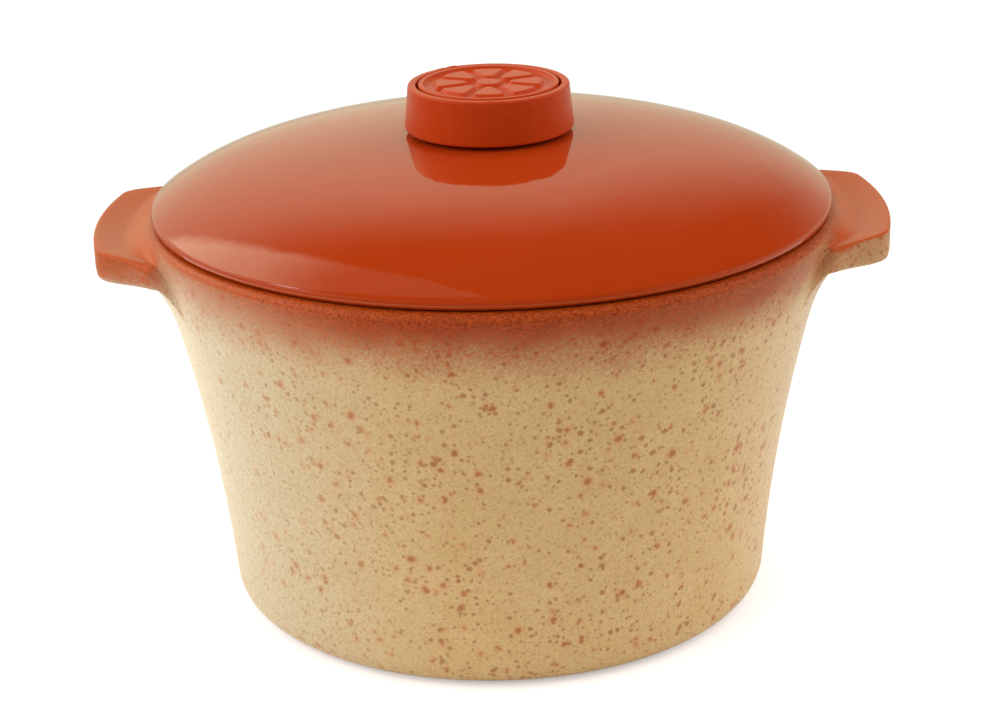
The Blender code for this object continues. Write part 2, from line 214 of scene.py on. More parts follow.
camera_data = bpy.data.cameras.new("photo_camera")
camera_data.lens = CAMERA_LENS
camera = bpy.data.objects.new("photo_camera", camera_data)
turn = Matrix((camera_right, camera_up, -ahead)).transposed().to_4x4()
camera.matrix_world = Matrix.Translation(CAMERA_PLACE) @ turn
bpy.context.scene.collection.objects.link(camera)
bpy.context.scene.camera = camera
bpy.context.scene.view_settings.view_transform = "Standard"
print("camera at", CAMERA_PLACE, "with a lens of", CAMERA_LENS, "mm")

# %% [markdown]
# ## Pot
#
# The body is one fired piece: a flared wall that bows in a little, a foot ring, and two lugs that grow out of the
# wall under the rim. Joining separate lugs with a Boolean would leave a hard line where the real glaze runs over a
# soft fillet. So the whole pot is one grid of columns and rows. Away from the lugs a column is the plain wall, and
# where a lug stands its rows swell out from the wall: underside, tip, dished top, and a sweep up to the rim.

# %% The wall of the pot
RIM = pot_high.z
LUG_TIP = pot_high.x
WALL_FOOT = 97.2
WALL_RIM = 123.6
WALL_BOW = 4.3
WALL_THICKNESS = 7.5
RIM_OUTER_ROUND = 3.4
RIM_INNER_ROUND = 1.5


def wall(height):
    share = height / RIM
    return WALL_FOOT + (WALL_RIM - WALL_FOOT) * share - 4 * WALL_BOW * share * (1 - share)


land_outer = wall(RIM - RIM_OUTER_ROUND) - RIM_OUTER_ROUND
land_inner = wall(RIM - RIM_INNER_ROUND) - WALL_THICKNESS + RIM_INNER_ROUND


def outside(height):
    """Radius of the pot's outside, with the rounded shoulder of the rim."""
    above = height - (RIM - RIM_OUTER_ROUND)
    if above <= 0:
        return wall(height)
    return land_outer + math.sqrt(RIM_OUTER_ROUND**2 - above**2)


# %% The lugs, seen from above
LUG_TIP_HALF = 39.0
LUG_ROOT_HALF = 46.0
LUG_ROOT = 120.5
LUG_CORNER_ROUND = 8.0
LUG_ROOT_ROUND = 16.5
LEAST_ROUND = 0.1
SPREAD_RISE = 3.0
SPREAD_WIDTH = 17.0
SLANT_STEP = math.radians(0.05)

tip_corner = Vector((math.sqrt(LUG_TIP**2 - LUG_TIP_HALF**2), LUG_TIP_HALF))
root_corner = Vector((math.sqrt(WALL_RIM**2 - LUG_ROOT_HALF**2), LUG_ROOT_HALF))
flank = (root_corner - tip_corner).normalized()
flank_normal = Vector((flank.y, -flank.x))
flank_offset = flank_normal.dot(tip_corner)
root_angle = math.atan2(root_corner.y, root_corner.x)


def lug_share(angle):
    """How far a lug stands out at an angle round the pot: 0 on the plain wall, and 1 at its tip."""
    facing = flank_normal.x * abs(math.cos(angle)) + flank_normal.y * abs(math.sin(angle))
    plan = soft_min(LUG_TIP, flank_offset / facing, LUG_CORNER_ROUND)
    beyond = (math.asin(min(abs(math.sin(angle)), 1)) - root_angle) * WALL_RIM
    foot = SPREAD_RISE * max(1 - max(beyond, 0) / SPREAD_WIDTH, 0) ** 2
    root_round = LUG_ROOT_ROUND * (1 - ease(0, SPREAD_WIDTH, beyond)) + LEAST_ROUND
    plan = soft_max(plan, LUG_ROOT + foot, root_round)
    return (plan - LUG_ROOT) / (LUG_TIP - LUG_ROOT)


def lug_reach(angle, height):
    """How far a lug stands out from the wall at an angle and a height."""
    return lug_share(angle) * (LUG_TIP - wall(height))


def lug_slant(angle):
    """How much wider a rounded edge gets, measured from the axis, where the lug's side runs aslant to it."""
    radius = wall(LUG_TOP) + lug_reach(angle, LUG_TOP)
    gained = lug_reach(angle + SLANT_STEP, LUG_TOP) - lug_reach(angle - SLANT_STEP, LUG_TOP)
    return math.hypot(1, gained / (2 * SLANT_STEP) / radius)


# %% The lugs, seen from the side
LUG_TOP = RIM - 3.6
LUG_TOP_ROOT = RIM - 5.4
LUG_UNDER = LUG_TOP - 11.2
LUG_UNDER_DROP = 22.0
LUG_DISH = 1.4
LUG_TOP_ROUND = 1.0
LUG_ROOT_EDGE = 3.4
LUG_BOTTOM_ROUND = 2.6
LUG_SWEEP = 11.0
SWEEP_TOP = RIM - 1.2
SWEEP_BEND = 0.6
LUG_FOOT = LUG_UNDER - LUG_UNDER_DROP
# the share of a lug's reach that each curve may take, where the lug is short
UNDER_CURVE_SHARE = 0.49
BOTTOM_ROUND_SHARE = 0.4
TOP_ROUND_SHARE = 0.5
SWEEP_SHARE = 0.45
# how a lug fades out at its sides: its foot rises by this power, its edge softens, and the plain wall takes over
UNDER_FADE = 0.35
ROOT_EDGE_TO_TIP_EDGE = (0.15, 0.6)
FULL_LUG_FROM = 0.25


def lug_top_height(radius, angle):
    """Top of a lug: it rises from the rim to the tip, and is dished in its middle."""
    root = wall(LUG_TOP_ROOT)
    share = (radius - root) / (LUG_TIP - LUG_TOP_ROUND - root)
    across = min(abs(radius * math.sin(angle)) / LUG_TIP_HALF, 1)
    dip = LUG_DISH * math.sin(math.pi * min(max(share, 0), 1)) * (1 - across**2)
    return LUG_TOP_ROOT + (LUG_TOP - LUG_TOP_ROOT) * share - dip


def lug_rows(angle):
    """Rows of one column over a lug, from the wall below it to the sweep under the rim."""
    share = lug_share(angle)
    slant = lug_slant(angle)
    under_wall = wall(LUG_UNDER)
    under_reach = lug_reach(angle, LUG_UNDER)
    foot = LUG_UNDER - LUG_UNDER_DROP * share**UNDER_FADE
    bottom_round = min(LUG_BOTTOM_ROUND * slant, BOTTOM_ROUND_SHARE * under_reach)
    under_end = (under_wall + UNDER_CURVE_SHARE * under_reach, LUG_UNDER)
    rows = blend((wall(foot), foot), (under_wall, LUG_UNDER), under_end, 8)
    edge = under_wall + under_reach - bottom_round
    rows.append(((under_end[0] + edge) / 2, LUG_UNDER))
    for radius, height in arc((0, LUG_UNDER + LUG_BOTTOM_ROUND), LUG_BOTTOM_ROUND, -90, 0, 5):
        tip = wall(height) + lug_reach(angle, height)
        rows.append((tip - bottom_round * (1 - radius / LUG_BOTTOM_ROUND), height))

    top_wall = wall(LUG_TOP_ROOT)
    tip = wall(LUG_TOP) + lug_reach(angle, LUG_TOP)
    reach = tip - top_wall
    edge_round = LUG_ROOT_EDGE + (LUG_TOP_ROUND - LUG_ROOT_EDGE) * ease(*ROOT_EDGE_TO_TIP_EDGE, share)
    top_round = min(edge_round * slant, TOP_ROUND_SHARE * reach)
    brow = lug_top_height(tip - top_round, angle)
    for height in spread(LUG_UNDER + LUG_BOTTOM_ROUND, brow - edge_round, 4)[1:-1]:
        rows.append((wall(height) + lug_reach(angle, height), height))
    for radius, height in arc((0, brow - edge_round), edge_round, 0, 90, 6):
        rows.append((tip - top_round * (1 - radius / edge_round), height))
    sweep_start = top_wall + min(LUG_SWEEP, SWEEP_SHARE * reach)
    for radius in spread(tip - top_round, sweep_start, 8)[1:-1]:
        rows.append((radius, lug_top_height(radius, angle)))
    sweep_low = lug_top_height(sweep_start, angle)
    sweep_corner = (top_wall + SWEEP_BEND * (sweep_start - top_wall), sweep_low)
    rows += blend((sweep_start, sweep_low), sweep_corner, (outside(SWEEP_TOP), SWEEP_TOP), 8)
    return rows


def swollen_rows(angle):
    """The same rows, led back to the plain wall where a lug fades out."""
    rows = lug_rows(angle)
    presence = ease(0, FULL_LUG_FROM, lug_share(angle))
    mixed = []
    for (radius, height), plain in zip(rows, spread(LUG_FOOT, SWEEP_TOP, len(rows) - 1)):
        mixed.append((
            radius * presence + outside(plain) * (1 - presence),
            height * presence + plain * (1 - presence),
        ))
    return mixed


# %% Foot, rim and inside of the pot, the same in every column
FOOT_ROUND = 9.5
FOOT_RING_WIDTH = 8.0
FOOT_RECESS = 1.6
FLOOR_THICKNESS = 7.5
FLOOR_TOP = FOOT_RECESS + FLOOR_THICKNESS
FLOOR_ROUND = 12.0

foot_outer = wall(FOOT_ROUND) - FOOT_ROUND
foot_inner = foot_outer - FOOT_RING_WIDTH
foot_rows = [(radius, FOOT_RECESS) for radius in spread(0, foot_inner - FOOT_RECESS, 5)[:-1]]
for share in spread(0, 1, 5):
    foot_rows.append((foot_inner - FOOT_RECESS * (1 - share), FOOT_RECESS * (1 - ease(0, 1, share))))
foot_rows.append(((foot_inner + foot_outer) / 2, 0))
foot_rows += arc((foot_outer, FOOT_ROUND), FOOT_ROUND, -90, 0, 8)
foot_rows += [(wall(height), height) for height in spread(FOOT_ROUND, LUG_FOOT, 14)[1:-1]]

sweep_angle = math.degrees(math.asin((SWEEP_TOP - RIM + RIM_OUTER_ROUND) / RIM_OUTER_ROUND))
floor_corner_height = FLOOR_TOP + FLOOR_ROUND
inner_rows = arc((land_outer, RIM - RIM_OUTER_ROUND), RIM_OUTER_ROUND, sweep_angle, 90, 6)[1:]
inner_rows += arc((land_inner, RIM - RIM_INNER_ROUND), RIM_INNER_ROUND, 90, 180, 5)
inner_heights = spread(RIM - RIM_INNER_ROUND, floor_corner_height, 12)[1:-1]
inner_rows += [(wall(height) - WALL_THICKNESS, height) for height in inner_heights]
floor_corner = (wall(floor_corner_height) - WALL_THICKNESS - FLOOR_ROUND, floor_corner_height)
inner_rows += arc(floor_corner, FLOOR_ROUND, 0, -90, 7)
inner_rows += [(radius, FLOOR_TOP) for radius in spread(floor_corner[0], 0, 5)[1:]]
print(len(foot_rows), "rows below the lugs,", len(inner_rows), "rows from the rim to the floor")

# %% The columns stand close together where the lug's side needs them
COLUMN_STEPS = ((12, 1.5), (15, 0.6), (25, 0.35), (36, 0.6), (90, 2.8))  # up to an angle, in steps (degrees)
quarter = [0.0]
for limit, step in COLUMN_STEPS:
    reached = math.degrees(quarter[-1])
    angles = spread(reached, limit, round((limit - reached) / step))
    quarter += [math.radians(angle) for angle in angles[1:]]
half_turn = quarter + [math.pi - angle for angle in reversed(quarter[:-1])]
pot_angles = half_turn[:-1] + [math.pi + angle for angle in half_turn[:-1]]

columns = [foot_rows + swollen_rows(angle) + inner_rows for angle in pot_angles]
pot_rings = []
for row in zip(*columns):
    if row[0][0] == 0:
        pot_rings.append([(0, 0, row[0][1])])
    else:
        pot_rings.append([(r * math.cos(a), r * math.sin(a), h) for (r, h), a in zip(row, pot_angles)])
pot = skin("ceramic_pot", pot_rings, False, "pot", "pot")
print(len(pot_angles), "columns by", len(pot_rings), "rows")

# %% [markdown]
# ## Lid
#
# The lid is a pressed steel dome with its edge rolled into a thin bead. Its gloss is a mirror for the studio, and a
# mirror shows every facet. So it is turned again with many fine steps, from the same curve as the CAD: a shallow
# crown, and a shoulder that turns down near the edge.

# %% The curve of the dome
SHEET = 1.2
BEAD_RADIUS = 2.0
SEAT_GAP = 0.3
CROWN_RISE = 15.0
SHOULDER_RISE = 8.0
SHOULDER_POWER = 7
SHOULDER_WIDTH = 30.0
BORE = 2.8
LID_FACETS = 240

bead_centre = (lid_high.x - BEAD_RADIUS, RIM + SEAT_GAP + BEAD_RADIUS)
edge_tilt = math.atan((2 * CROWN_RISE + SHOULDER_POWER * SHOULDER_RISE) / bead_centre[0])
dome_edge = bead_centre[0] + BEAD_RADIUS * math.sin(edge_tilt)
dome_edge_height = bead_centre[1] + BEAD_RADIUS * math.cos(edge_tilt)


def dome_height(radius, depth=0):
    """Top of the lid, or a surface that lies below it by a depth measured square to the dome."""
    share = radius / dome_edge
    fall = 2 * CROWN_RISE * share + SHOULDER_POWER * SHOULDER_RISE * share ** (SHOULDER_POWER - 1)
    top = dome_edge_height + CROWN_RISE * (1 - share**2) + SHOULDER_RISE * (1 - share**SHOULDER_POWER)
    return top - depth * math.hypot(1, fall / dome_edge)


# %% Turn the lid
first = 90 - math.degrees(edge_tilt)
close = math.degrees(math.acos((BEAD_RADIUS - SHEET) / BEAD_RADIUS))
shoulder_start = dome_edge - SHOULDER_WIDTH
top_radii = spread(BORE, shoulder_start, 24)[:-1] + spread(shoulder_start, dome_edge, 30)
lid_outline = [(radius, dome_height(radius)) for radius in top_radii]
lid_outline += arc(bead_centre, BEAD_RADIUS, first, first + close - 360, 26)[1:]
under_radii = spread(bead_centre[0] - 2 * BEAD_RADIUS, BORE, 30)
lid_outline += [(radius, dome_height(radius, SHEET)) for radius in under_radii]
lid = skin("enamelled_lid", turned_rings(lid_outline, LID_FACETS), True, "lid", "lid_shell")

# %% [markdown]
# ## Knob
#
# The knob is a moulded cup with slightly tapered sides, and a disc is set into it, with a narrow groove all round.
# Moulded edges are never quite sharp: the foot and the lips are rounded, and the mould leaves thin ragged fins on
# the upper lip. The outline is turned with those rounds, and a shift raises the lip at each fin.

# %% The cup of the knob
KNOB_TAPER = 1.35
KNOB_WALL = 2.85
KNOB_SKIRT = 4.0
KNOB_BASE_ROUND = 1.0
KNOB_TOP_ROUND = 0.9
KNOB_INNER_ROUND = 0.5
KNOB_FLOOR = 4.0
KNOB_GASKET = 1.0
KNOB_FACETS = 240
FIN_HEIGHT = 0.3
FIN_LEAN = 0.25
FIN_SLOPE_FROM = 0.35
LIP_DEPTH = 0.6
LIP_WIDTH = 1.2
# the middle of each fin (degrees round the knob), its half width (degrees), and its share of the height
FINS = ((-89.0, 3.0, 1.0), (-82.0, 2.0, 0.4), (118.0, 5.5, 1.0), (128.0, 4.0, 0.55))

knob_base_radius = knob_high.x
knob_top_radius = knob_base_radius - KNOB_TAPER
pocket_radius = knob_top_radius - KNOB_WALL
knob_lip = knob_high.z - FIN_HEIGHT
knob_seat = dome_height(0) + 2 * SEAT_GAP + KNOB_GASKET
knob_floor = knob_seat + KNOB_FLOOR


def fin(angle):
    """Height of the moulding fin on the lip, as a share: a few low ragged humps."""
    height = 0
    for middle, half_width, share in FINS:
        away = abs((math.degrees(angle) - middle + 180) % 360 - 180)
        height = max(height, share * (1 - ease(FIN_SLOPE_FROM * half_width, half_width, away)))
    return height


def knob_shift(radius, height, angle):
    """Raises a point of the outline where it lies on the lip at a fin, and leans it inward."""
    on_lip = ease(knob_lip - LIP_DEPTH, knob_lip, height) * ease(pocket_radius, pocket_radius + LIP_WIDTH, radius)
    raised = fin(angle) * on_lip
    return radius - FIN_LEAN * raised, height + FIN_HEIGHT * raised


skirt_inner = knob_base_radius - KNOB_SKIRT
knob_outline = [(BORE, knob_seat), (skirt_inner, knob_seat), (skirt_inner, knob_low.z)]
base_centre = (knob_base_radius - KNOB_BASE_ROUND, knob_low.z + KNOB_BASE_ROUND)
knob_outline += arc(base_centre, KNOB_BASE_ROUND, -90, 0, 7)
lip_centre = (knob_top_radius - KNOB_TOP_ROUND, knob_lip - KNOB_TOP_ROUND)
knob_outline += arc(lip_centre, KNOB_TOP_ROUND, 0, 90, 8)
inner_centre = (pocket_radius + KNOB_INNER_ROUND, knob_lip - KNOB_INNER_ROUND)
knob_outline += arc(inner_centre, KNOB_INNER_ROUND, 90, 180, 4)
knob_outline += [(pocket_radius, knob_floor), (BORE, knob_floor)]
knob = skin("moulded_knob", turned_rings(knob_outline, KNOB_FACETS, knob_shift), True, "lid", "knob_body")

# %% [markdown]
# ## Disc of the knob
#
# The disc carries a low relief with rounded edges. Here it is a plain ring of eight blocks round a boss, a pattern
# found on many knobs. Separate blocks would need their edges bevelled and joined. It is simpler to treat the field
# as a height map: each point of a fine polar grid is lifted by how deep it lies inside the nearest block.

# %% The relief as a height over the field
RELIEF_HEIGHT = 1.3
RELIEF_PADS = 8
RELIEF_GAP = 2.6
RELIEF_EDGE = (-0.3, 0.6)
PAD_CORNER = 1.6
BOSS_RADIUS = 4.6
CAP_RIM = 1.7
CAP_SINK = 1.3
CAP_ROUND = 0.6
CAP_WALL = 1.8
CAP_THICKNESS = 3.0
CAP_SLOPE = 0.9
CAP_CROWN = 0.05
ON_FIELD_WITHIN = 0.01
CAP_FACETS = 288

cap_radius = cap_high.x
cap_top = cap_high.z
field_radius = cap_radius - CAP_RIM - CAP_SINK
field_height = cap_top - CAP_SINK
pad_inner = BOSS_RADIUS + RELIEF_GAP
pad_outer = field_radius - RELIEF_GAP


def relief(radius, angle):
    """Height of the relief over the field: it rises across the edge of the nearest block or of the boss."""
    pitch = 2 * math.pi / RELIEF_PADS
    off_middle = abs((angle + pitch / 2) % pitch - pitch / 2)
    to_side = radius * math.sin(pitch / 2 - off_middle) - RELIEF_GAP / 2
    to_end = min(radius - pad_inner, pad_outer - radius)
    inside_pad = soft_min(to_side, to_end, PAD_CORNER)
    inside = max(inside_pad, BOSS_RADIUS - radius)
    return RELIEF_HEIGHT * ease(*RELIEF_EDGE, inside)


def cap_shift(radius, height, angle):
    """Lifts a point of the outline by the relief, where it lies on the field."""
    on_field = abs(height - field_height) < ON_FIELD_WITHIN and radius < field_radius
    return radius, height + (relief(radius, angle) if on_field else 0)


cap_outline = [(0, field_height)]
cap_outline += [(radius, field_height) for radius in spread(0, field_radius, 60)[1:]]
field_edge = (field_radius, field_height)
slope_corner = (field_radius + CAP_SLOPE, field_height)
cap_outline += blend(field_edge, slope_corner, (cap_radius - CAP_RIM, cap_top - CAP_CROWN), 5)[1:]
cap_outline += arc((cap_radius - CAP_ROUND, cap_top - CAP_ROUND), CAP_ROUND, 90, 0, 6)
cap_outline += [(cap_radius, cap_low.z), (cap_radius - CAP_WALL, cap_low.z)]
cap_outline += [(cap_radius - CAP_WALL, cap_top - CAP_THICKNESS), (0, cap_top - CAP_THICKNESS)]
cap = skin("knob_disc", turned_rings(cap_outline, CAP_FACETS, cap_shift), False, "lid", "knob_cap")

# %% [markdown]
# ## How the materials are written
#
# Every finish is a Principled shader. A value that is the same all over sits on the shader's own socket. What
# varies, such as specks, spray or grain, comes from noise measured in the object's own millimetres, so a pattern
# has its real size and stays put when the lid is lifted.

# %% Colours and nodes
FACTOR, FIRST, SECOND = 0, 6, 7  # sockets of a Mix node that mixes colours
PLAIN_FACTOR, PLAIN_FIRST, PLAIN_SECOND = 0, 2, 3  # sockets of a Mix node that mixes numbers
WHITE = (1.0, 1.0, 1.0, 1.0)


def paint(hexadecimal):
    """sRGB hexadecimal to the linear values that a shader takes."""
    channels = [int(hexadecimal[place : place + 2], 16) / 255 for place in (1, 3, 5)]
    linear = [c / 12.92 if c <= 0.04045 else ((c + 0.055) / 1.055) ** 2.4 for c in channels]
    return (*linear, 1.0)


def wire(node, links):
    """Links inputs of a node. A source that is itself a node stands for its first output in use."""
    for socket, source in links.items():
        if isinstance(source, bpy.types.Node):
            source = next(output for output in source.outputs if output.enabled)
        node.id_data.links.new(source, node.inputs[socket])


def add_node(tree, kind, values=None, links=None, **settings):
    """Adds a node, sets it up, fills its plain inputs and links the others."""
    node = tree.nodes.new(kind)
    for name, value in settings.items():
        setattr(node, name, value)
    for socket, value in (values or {}).items():
        node.inputs[socket].default_value = value
    wire(node, links or {})
    return node


def start_material(name, uniform):
    """A material with a Principled shader. Its uniform values go on the shader's own sockets."""
    made = bpy.data.materials.new(name)
    made.use_nodes = True
    shader = made.node_tree.nodes["Principled BSDF"]
    for socket, value in uniform.items():
        shader.inputs[socket].default_value = value
    return made, made.node_tree, shader


def place_in_mm(tree):
    """Where a point is on its object, in millimetres."""
    place = add_node(tree, "ShaderNodeTexCoord").outputs["Object"]
    return add_node(tree, "ShaderNodeVectorMath", {"Scale": 1 / MM}, {0: place}, operation="SCALE")


def dress(piece, material):
    piece.data.materials.clear()
    piece.data.materials.append(material)


# %% [markdown]
# ## Speckled glaze
#
# Stoneware glaze over an iron-rich slip: a pale buff ground, slightly clouded, with rust specks that the iron burns
# through the glaze. It is paler on the left and its specks are fainter there, which is a painted sheen of the light
# from the left. Specks come from a three-dimensional cell pattern: each cell may hold one
# grain, and the pot's surface cuts through some grains at their widest and through others near their edge, which
# gives many sizes. Noise bends the cells, so that no speck is a perfect disc. Glaze is a glass, so its IOR is that
# of glass, but its satin surface mirrors little.

# %% How far a point lies toward the right lug, from -1 to 1, and how strong the painted sheen of the left light is there
LEFT_SHEEN_FROM, LEFT_SHEEN_TO = -0.92, -0.08
STRONGEST_LEFT_SHEEN = 0.8
glaze, tree, shader = start_material("speckled_stoneware_glaze", {"IOR": 1.5, "Specular IOR Level": 0.25})
point = place_in_mm(tree)
place_parts = add_node(tree, "ShaderNodeSeparateXYZ", {}, {0: point})
flat_place = add_node(tree, "ShaderNodeVectorMath", {1: (1, 1, 0)}, {0: point}, operation="MULTIPLY")
distance = add_node(tree, "ShaderNodeVectorMath", {}, {0: flat_place}, operation="LENGTH")
toward_right = add_node(tree, "ShaderNodeMath", {}, {0: place_parts.outputs["X"], 1: distance}, operation="DIVIDE")
# painted sheen: the light from the left, drawn as a paler ground toward the left
painted_left_sheen = add_node(
    tree,
    "ShaderNodeMapRange",
    {"From Min": LEFT_SHEEN_FROM, "From Max": LEFT_SHEEN_TO, "To Min": STRONGEST_LEFT_SHEEN, "To Max": 0.0},
    {"Value": toward_right},
    interpolation_type="SMOOTHSTEP",
)

# %% Ground of the glaze: clouds as wide as a thumb, fine mottling, and a painted sheen on the left
CLOUD_SIZE = 16
MOTTLE_SIZE = 1.1
clouds = add_node(tree, "ShaderNodeTexNoise", {"Scale": 1 / CLOUD_SIZE, "Detail": 3.0}, {"Vector": point})
mottle = add_node(tree, "ShaderNodeTexNoise", {"Scale": 1 / MOTTLE_SIZE, "Detail": 2.0}, {"Vector": point})
mottle_share = add_node(
    tree, "ShaderNodeMapRange", {"From Min": 0.42, "From Max": 0.75, "To Max": 0.5}, {"Value": mottle}
)
surface = add_node(
    tree, "ShaderNodeMix", {FIRST: paint("#DDBD88"), SECOND: paint("#CCAB71")}, {FACTOR: clouds}, data_type="RGBA"
)
# the first tint is painted sheen, the light from the left drawn as a paler cream ground
for tint, share in (("#CEC3A5", painted_left_sheen), ("#B88A55", mottle_share)):
    surface = add_node(
        tree, "ShaderNodeMix", {SECOND: paint(tint)}, {FACTOR: share, FIRST: surface}, data_type="RGBA"
    )

# %% Noise that bends the outlines of the specks, where specks gather, and where the painted sheen on the left makes them fainter
BEND = 0.32
BEND_SIZE = 1.5
GATHER_SIZE = 24
SPECKS_UNDER_SHEEN = 0.5
bending = add_node(tree, "ShaderNodeTexNoise", {"Scale": 1 / BEND_SIZE, "Detail": 2.0}, {"Vector": point})
centred = add_node(
    tree, "ShaderNodeVectorMath", {1: (0.5, 0.5, 0.5)}, {0: bending.outputs["Color"]}, operation="SUBTRACT"
)
gathering = add_node(tree, "ShaderNodeTexNoise", {"Scale": 1 / GATHER_SIZE, "Detail": 2.0}, {"Vector": point})
crowd = add_node(
    tree,
    "ShaderNodeMapRange",
    {"From Min": 0.35, "From Max": 0.65, "To Min": 0.70, "To Max": 1.25},
    {"Value": gathering},
)
# specks fainter on the left: painted sheen of the light from the left
sheen_fading = add_node(
    tree, "ShaderNodeMapRange", {"From Min": LEFT_SHEEN_FROM, "From Max": LEFT_SHEEN_TO, "To Min": SPECKS_UNDER_SHEEN}, {"Value": toward_right}
)


# %% One layer of specks
def speck_layer(spacing, smallest, largest, softness, strength):
    """Share of speck, and a random number for its cell, at each point. Grains are one to a cell, in millimetres."""
    bend = BEND * spacing
    bent = add_node(
        tree, "ShaderNodeVectorMath", {1: (bend, bend, bend)}, {0: centred, 2: point}, operation="MULTIPLY_ADD"
    )
    cells = add_node(tree, "ShaderNodeTexVoronoi", {"Scale": 1 / spacing}, {"Vector": bent})
    chance = add_node(tree, "ShaderNodeSeparateColor", {}, {0: cells.outputs["Color"]})
    radius = add_node(
        tree,
        "ShaderNodeMapRange",
        {"To Min": smallest / spacing, "To Max": largest / spacing},
        {"Value": chance.outputs["Red"]},
    )
    crowded = add_node(tree, "ShaderNodeMath", {}, {0: radius, 1: crowd}, operation="MULTIPLY")
    inner, outer = (
        add_node(tree, "ShaderNodeMath", {1: softness / spacing}, {0: crowded}, operation=change)
        for change in ("SUBTRACT", "ADD")
    )
    speck = add_node(
        tree,
        "ShaderNodeMapRange",
        {"To Min": strength, "To Max": 0.0},
        {"Value": cells, "From Min": inner, "From Max": outer},
        interpolation_type="SMOOTHSTEP",
    )
    return speck, chance.outputs["Green"]


# %% Five layers of specks, from wide faint halos to a fine pepper
SPECKS = (
    # spacing, smallest radius, largest radius, softness (all in mm), strength, and the two colours of the layer
    (5.8, 0.8, 2.2, 0.90, 0.50, "#D08A5C", "#D4A070"),
    (5.8, 0.2, 1.25, 0.42, 0.70, "#A4521F", "#B2683A"),
    (3.4, 0.25, 1.0, 0.36, 0.70, "#A2562A", "#A0683A"),
    (2.3, 0.15, 0.66, 0.30, 0.64, "#A65E2C", "#987040"),
    (1.6, 0.05, 0.38, 0.24, 0.50, "#AC7642", "#967444"),
)
for *sizes, first_tint, second_tint in SPECKS:
    share, chance = speck_layer(*sizes)
    tint = add_node(
        tree,
        "ShaderNodeMix",
        {FIRST: paint(first_tint), SECOND: paint(second_tint)},
        {FACTOR: chance},
        data_type="RGBA",
    )
    amount = add_node(tree, "ShaderNodeMath", {}, {0: share, 1: sheen_fading}, operation="MULTIPLY")
    surface = add_node(tree, "ShaderNodeMix", {}, {FACTOR: amount, FIRST: surface, SECOND: tint}, data_type="RGBA")
print(len(SPECKS), "layers of specks")

# %% [markdown]
# ## Sprayed rim
#
# The terracotta band under the lid was sprayed on before firing. A spray has no edge: it thins out in droplets. So
# its strength is the height up the pot, shifted by slow waves for an unsteady hand and by fine grain for droplets.
# It came from above, so it lies thickest and brightest on the tops of the lugs. On the wall it gets thinner toward
# both lugs, most of all toward the left one. Real droplets are about 0.2 mm, too fine to show, so they are drawn at
# 0.9 mm.

# %% How high the spray reaches
SPRAY_MIDDLE = 124.0
SPRAY_FADE = 12.0
SPRAY_FROM_ABOVE = 8.0
LUG_SPRAY_LOSS = 2.0
WAVE_SIZE, WAVE_SWING = 22, 6.0
DROPLET_SIZE, DROPLET_SWING = 0.9, 13.0
waves = add_node(tree, "ShaderNodeTexNoise", {"Scale": 1 / WAVE_SIZE, "Detail": 2.0}, {"Vector": point})
droplets = add_node(
    tree, "ShaderNodeTexNoise", {"Scale": 1 / DROPLET_SIZE, "Detail": 3.0, "Roughness": 0.7}, {"Vector": point}
)
shifted = place_parts.outputs["Z"]
for pattern, swing in ((waves, WAVE_SWING), (droplets, DROPLET_SWING)):
    change = add_node(tree, "ShaderNodeMapRange", {"To Min": -swing, "To Max": swing}, {"Value": pattern})
    shifted = add_node(tree, "ShaderNodeMath", {}, {0: shifted, 1: change}, operation="ADD")
geometry = add_node(tree, "ShaderNodeNewGeometry")
facing_up = add_node(tree, "ShaderNodeSeparateXYZ", {}, {0: geometry.outputs["Normal"]}).outputs["Z"]
shifted = add_node(
    tree, "ShaderNodeMath", {1: SPRAY_FROM_ABOVE}, {0: facing_up, 2: shifted}, operation="MULTIPLY_ADD"
)
reach_loss = add_node(
    tree,
    "ShaderNodeMapRange",
    {"From Min": WALL_RIM, "From Max": LUG_TIP, "To Max": LUG_SPRAY_LOSS},
    {"Value": distance},
)
shifted = add_node(tree, "ShaderNodeMath", {}, {0: shifted, 1: reach_loss}, operation="SUBTRACT")

# %% How well the spray covers the wall, from the left to the right
COVER = 0.95
COVER_LEFT = 0.41
COVER_RIGHT = 0.58
left_cover = add_node(
    tree,
    "ShaderNodeMapRange",
    {"From Min": -0.3, "From Max": -1.0, "To Min": COVER, "To Max": COVER_LEFT},
    {"Value": toward_right},
)
right_loss = add_node(
    tree,
    "ShaderNodeMapRange",
    {"From Min": 0.75, "From Max": 1.0, "To Min": 0.0, "To Max": COVER - COVER_RIGHT},
    {"Value": toward_right},
)
wall_cover = add_node(tree, "ShaderNodeMath", {}, {0: left_cover, 1: right_loss}, operation="SUBTRACT")

# %% What the flanks and the tops of the lugs catch beside that
FLANK_GAIN_LEFT, FLANK_GAIN_RIGHT = 0.52, -0.2
TOP_GAIN, TOP_GAIN_ON_LEFT = 0.38, 0.22
ON_LUG_WITHIN = 3
on_lug = add_node(
    tree,
    "ShaderNodeMapRange",
    {"From Min": WALL_RIM - ON_LUG_WITHIN, "From Max": WALL_RIM + ON_LUG_WITHIN},
    {"Value": distance},
)
flank_gain = add_node(
    tree,
    "ShaderNodeMapRange",
    {"From Min": -1.0, "From Max": 1.0, "To Min": FLANK_GAIN_LEFT, "To Max": FLANK_GAIN_RIGHT},
    {"Value": toward_right},
)
flank_gain = add_node(tree, "ShaderNodeMath", {}, {0: flank_gain, 1: on_lug}, operation="MULTIPLY")
